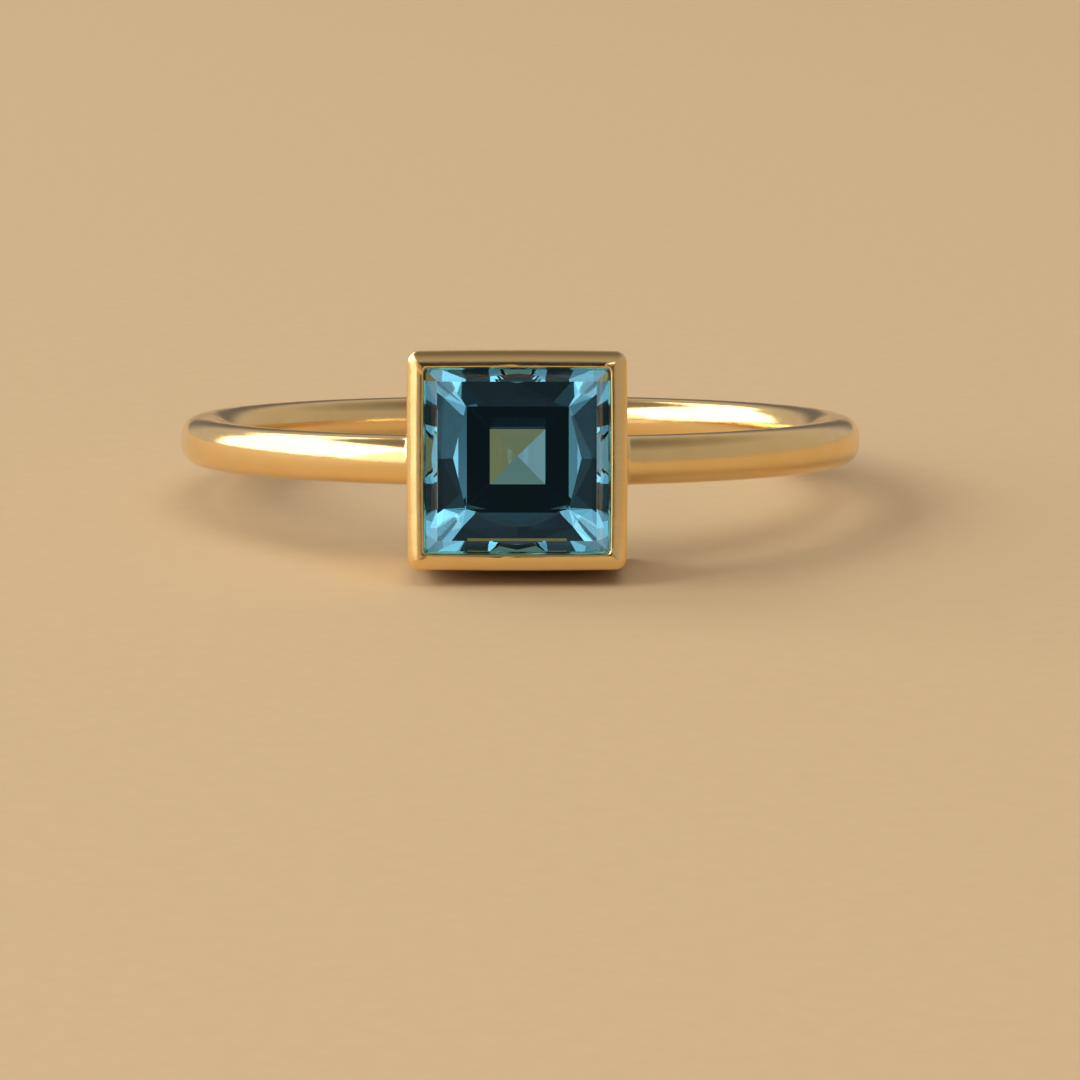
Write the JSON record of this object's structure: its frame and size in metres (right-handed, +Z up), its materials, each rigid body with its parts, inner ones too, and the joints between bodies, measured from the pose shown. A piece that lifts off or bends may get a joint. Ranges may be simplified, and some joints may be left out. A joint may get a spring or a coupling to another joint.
{
  "type": "stackable finger ring with a square bezel-set stone",
  "caption": "Plain round metal finger ring for stacking, with a square faceted blue stone in a square bezel.",
  "frame": {"origin": "on the surface that the ring rests on, under the middle of its box", "axes": "+Z up, -Y the way the stone faces, +X to the right of someone looking at the stone; the finger hole's axis leans 7 degrees from +Z towards +Y, as the ring rests by itself"},
  "size_m": [0.02, 0.0224, 0.0065],
  "materials": {
    "yellow_gold": "polished, with fine wear lines",
    "blue_stone": "polished facets, clear, teal blue"
  },
  "bodies": {
    "root": {"shank_and_bezel": "yellow_gold", "square_stone": "blue_stone"}
  },
  "joints": []
}
